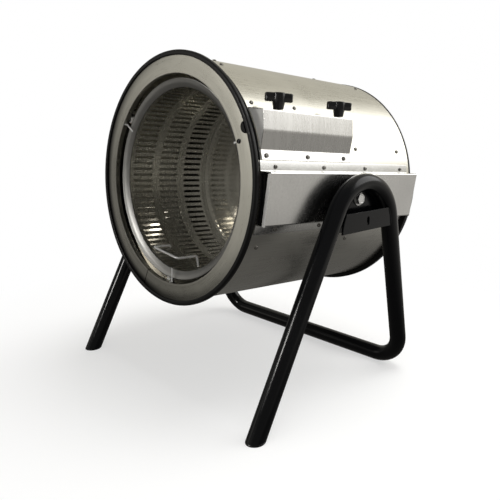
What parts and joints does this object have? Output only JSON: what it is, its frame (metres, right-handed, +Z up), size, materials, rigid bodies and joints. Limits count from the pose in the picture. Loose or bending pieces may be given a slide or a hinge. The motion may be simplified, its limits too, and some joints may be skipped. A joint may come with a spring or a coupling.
{
  "type": "rotary drum tumbler",
  "caption": "Slotted stainless drum turning in a round housing that tilts on a black bent-tube stand, with a cover box, clamping knobs and side pivot boxes.",
  "frame": {"origin": "on the floor under the centre of the bounding box", "axes": "+Z up, drum mouth towards -Y, +X to the right of the drum as seen from the mouth's side, which is the side with the cover box"},
  "size_m": [0.543, 0.5042, 0.6036],
  "materials": {
    "black_steel": "satin black powder coat",
    "black_rubber": "matte",
    "black_plastic": "fine texture",
    "brushed_steel": "brushed stainless",
    "polished_steel": "polished stainless",
    "zinc_steel": "zinc plated",
    "grey_paint": "hammered grey",
    "white_nylon": "moulded nylon"
  },
  "bodies": {
    "stand": {"stand_tube": "black_steel", "foot_plug_right": "black_plastic", "foot_plug_left": "black_plastic", "pivot_plate_right": "black_steel", "pivot_plate_left": "black_steel", "strap_right": "black_steel", "strap_left": "black_steel"},
    "housing": {"shell_upper": "brushed_steel", "shell_lower": "brushed_steel", "front_ring": "brushed_steel", "front_trim": "black_rubber", "trim_clip": "black_rubber", "upper_trim": "black_rubber", "rear_trim_upper": "black_rubber", "rear_trim_lower": "black_rubber", "bulkhead": "brushed_steel", "rear_panel": "brushed_steel", "side_box_right": "brushed_steel", "side_box_left": "brushed_steel", "box_cap_front_right": "black_plastic", "box_cap_front_left": "black_plastic", "box_cap_rear_right": "black_plastic", "box_cap_rear_left": "black_plastic", "pivot_bolt_right": "polished_steel", "pivot_bolt_left": "polished_steel", "pivot_boss_right": "black_plastic", "pivot_boss_left": "black_plastic", "pivot_nut_right": "zinc_steel", "pivot_nut_left": "zinc_steel", "hood": "brushed_steel", "hood_screw_1": "zinc_steel", "hood_screw_2": "zinc_steel", "hood_screw_3": "zinc_steel", "roller_bracket_1": "zinc_steel", "roller_bracket_2": "zinc_steel", "roller_bracket_3": "zinc_steel", "shaft_bearing": "grey_paint", "motor_bracket": "zinc_steel", "gear_motor": "grey_paint", "power_inlet": "black_plastic", "switch_frame": "black_plastic"},
    "drum": {"drum_wall": "brushed_steel", "drum_rim": "polished_steel", "drum_back": "polished_steel", "drum_hub": "zinc_steel", "drum_shaft": "zinc_steel", "wire_lifter": "polished_steel"},
    "guide_roller_1": {"roller_1": "white_nylon"},
    "guide_roller_2": {"roller_2": "white_nylon"},
    "guide_roller_3": {"roller_3": "white_nylon"},
    "front_knob": {"knob_front": "black_plastic", "stud_front": "zinc_steel"},
    "rear_knob": {"knob_rear": "black_plastic", "stud_rear": "zinc_steel"},
    "rocker": {"switch_rocker": "black_plastic"}
  },
  "joints": [
    {"name": "tilt", "type": "hinge", "parent": "stand", "child": "housing", "pos_m": [0, 0.0195, 0.356], "axis": [1, 0, 0], "range_deg": [-45, 75]},
    {"name": "drum_spin", "type": "hinge", "parent": "housing", "child": "drum", "pos_m": [0, -0.20092, 0.38267], "axis": [0, 0.9978, -0.0663], "continuous": true},
    {"name": "roller_1_spin", "type": "hinge", "parent": "housing", "child": "guide_roller_1", "pos_m": [0.16749, -0.17928, 0.4595], "axis": [0, 0.9978, -0.0663], "continuous": true},
    {"name": "roller_2_spin", "type": "hinge", "parent": "housing", "child": "guide_roller_2", "pos_m": [-0.01611, -0.19665, 0.19788], "axis": [0, 0.9978, -0.0663], "continuous": true},
    {"name": "roller_3_spin", "type": "hinge", "parent": "housing", "child": "guide_roller_3", "pos_m": [-0.15138, -0.17743, 0.48734], "axis": [0, 0.9978, -0.0663], "continuous": true},
    {"name": "front_knob_turn", "type": "hinge", "parent": "housing", "child": "front_knob", "pos_m": [0.187, -0.12221, 0.50392], "axis": [0, 0.0663, 0.9978], "range_deg": [0, 450]},
    {"name": "rear_knob_turn", "type": "hinge", "parent": "housing", "child": "rear_knob", "pos_m": [0.187, 0.03075, 0.49376], "axis": [0, 0.0663, 0.9978], "range_deg": [0, 450]},
    {"name": "switch_rock", "type": "hinge", "parent": "housing", "child": "rocker", "pos_m": [0.055, 0.19906, 0.24085], "axis": [1, 0, 0], "range_deg": [0, 20]}
  ],
  "couplings": [
    {"joint": "roller_1_spin", "follows": "drum_spin", "ratio": -25.36},
    {"joint": "roller_2_spin", "follows": "drum_spin", "ratio": -25.36},
    {"joint": "roller_3_spin", "follows": "drum_spin", "ratio": -25.36}
  ]
}
